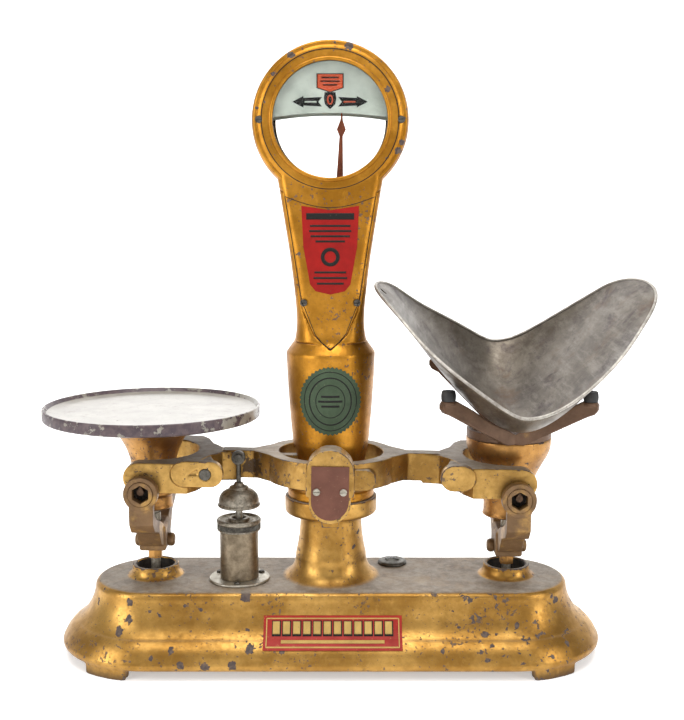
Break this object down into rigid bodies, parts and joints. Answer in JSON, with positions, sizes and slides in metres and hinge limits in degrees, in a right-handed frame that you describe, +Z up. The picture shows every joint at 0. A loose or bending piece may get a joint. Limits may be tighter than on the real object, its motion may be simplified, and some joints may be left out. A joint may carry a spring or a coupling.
{
  "type": "equal-arm counter scale",
  "caption": "Over-and-under counter balance with a round see-through dial, equal-arm beam, plate, sheet-metal scoop, air dashpot and long cast base.",
  "frame": {"origin": "middle of the footprint at table level", "axes": "+X towards the scoop, -Y towards the dial face and the operator, +Z up"},
  "size_m": [0.5168, 0.196, 0.5164],
  "materials": {
    "gold_paint": "aged bronze-gold paint over cast iron, satin, chipped",
    "tower_paint": "warm gold paint, satin",
    "beam_paint": "worn gold paint over cast iron",
    "brown_iron": "worn brown iron with traces of gold",
    "support_paint": "worn bronze paint",
    "enamel": "white enamel, speckled, chipped rim",
    "scoop_metal": "tarnished sheet metal",
    "nickel": "dull nickel plate",
    "dark_metal": "darkened metal",
    "steel": "bare steel",
    "pivot_steel": "hardened steel, light rust",
    "cover_plate": "red-brown lacquered plate",
    "glass": "clear glass",
    "chart": "printed chart plate",
    "pointer_red": "red-brown paint",
    "label_red": "red transfer with plain bands",
    "seal_green": "green foil seal with plain rings",
    "badge_red": "red badge with plain gold bands",
    "rubber_black": "black rubber",
    "brass_spider": "brown worn paint"
  },
  "bodies": {
    "stand": {"base_casting": "gold_paint", "badge_plate": "badge_red", "level_housing": "dark_metal", "level_glass": "glass", "tower_housing": "tower_paint", "front_cover": "tower_paint", "rear_cover": "tower_paint", "front_cover_screws": "steel", "rear_cover_screws": "steel", "front_glass": "glass", "rear_glass": "glass", "front_glass_ring": "dark_metal", "rear_glass_ring": "dark_metal", "front_chart": "chart", "rear_chart": "chart", "neck_label": "label_red", "tower_seal": "seal_green", "front_fulcrum_bearing": "steel", "rear_fulcrum_bearing": "steel", "check_bracket": "brown_iron", "check_pivot_pin": "steel", "dashpot_cylinder": "nickel", "dashpot_flange": "nickel", "dashpot_cap": "dark_metal", "dashpot_flange_screws": "steel"},
    "beam": {"beam_casting": "beam_paint", "fulcrum_pivots": "pivot_steel", "end_pivots": "pivot_steel", "front_pivot_cover": "cover_plate", "rear_pivot_cover": "cover_plate", "pivot_cover_screws": "nickel", "pointer_bracket": "nickel", "pointer_clamp_screw": "steel", "pointer": "pointer_red", "sealing_plug": "steel", "dashpot_stud": "dark_metal"},
    "plate_hanger": {"plate_support": "support_paint", "plate_yoke": "brown_iron", "plate_bushes": "brown_iron", "plate_cross_bolt": "brown_iron", "plate_check_stem": "steel", "plate_lock_nut": "support_paint"},
    "scoop_hanger": {"scoop_support": "support_paint", "scoop_yoke": "brown_iron", "scoop_bushes": "brown_iron", "scoop_cross_bolt": "brown_iron", "scoop_check_stem": "steel", "scoop_lock_nut": "support_paint", "scoop_spider": "brass_spider", "scoop_bumpers": "rubber_black", "bumper_screws": "steel"},
    "check_link": {"check_link": "brown_iron", "check_link_pins": "steel"},
    "dashpot_plunger": {"plunger_eye": "dark_metal", "plunger_dome": "dark_metal", "plunger_rod": "nickel", "plunger_piston": "nickel"},
    "plate": {"commodity_plate": "enamel"},
    "scoop": {"scoop": "scoop_metal"}
  },
  "joints": [
    {"name": "beam_tilt", "type": "hinge", "parent": "stand", "child": "beam", "pos_m": [-0.014, 0, 0.158], "axis": [0, 1, 0], "range_deg": [-4.2, 2.2]},
    {"name": "plate_hanger_pivot", "type": "hinge", "parent": "beam", "child": "plate_hanger", "pos_m": [-0.16638, 0, 0.16066], "axis": [0, 1, 0], "range_deg": [-2.2, 4.2]},
    {"name": "scoop_hanger_pivot", "type": "hinge", "parent": "beam", "child": "scoop_hanger", "pos_m": [0.13838, 0, 0.15534], "axis": [0, 1, 0], "range_deg": [-2.2, 4.2]},
    {"name": "check_link_pivot", "type": "hinge", "parent": "stand", "child": "check_link", "pos_m": [-0.014, 0, 0.036], "axis": [0, 1, 0], "range_deg": [-4.2, 2.2]},
    {"name": "plunger_pivot", "type": "hinge", "parent": "beam", "child": "dashpot_plunger", "pos_m": [-0.09228, 0, 0.17137], "axis": [0, 1, 0], "range_deg": [-2.2, 4.2]},
    {"name": "plate_lift", "type": "slide", "parent": "plate_hanger", "child": "plate", "axis": [0, 0, 1], "range_m": [0, 0.06]},
    {"name": "scoop_lift", "type": "slide", "parent": "scoop_hanger", "child": "scoop", "axis": [0, 0, 1], "range_m": [0, 0.008]}
  ],
  "couplings": [
    {"joint": "plate_hanger_pivot", "follows": "beam_tilt", "ratio": -1},
    {"joint": "scoop_hanger_pivot", "follows": "beam_tilt", "ratio": -1},
    {"joint": "check_link_pivot", "follows": "beam_tilt", "ratio": 1},
    {"joint": "plunger_pivot", "follows": "beam_tilt", "ratio": -1}
  ]
}
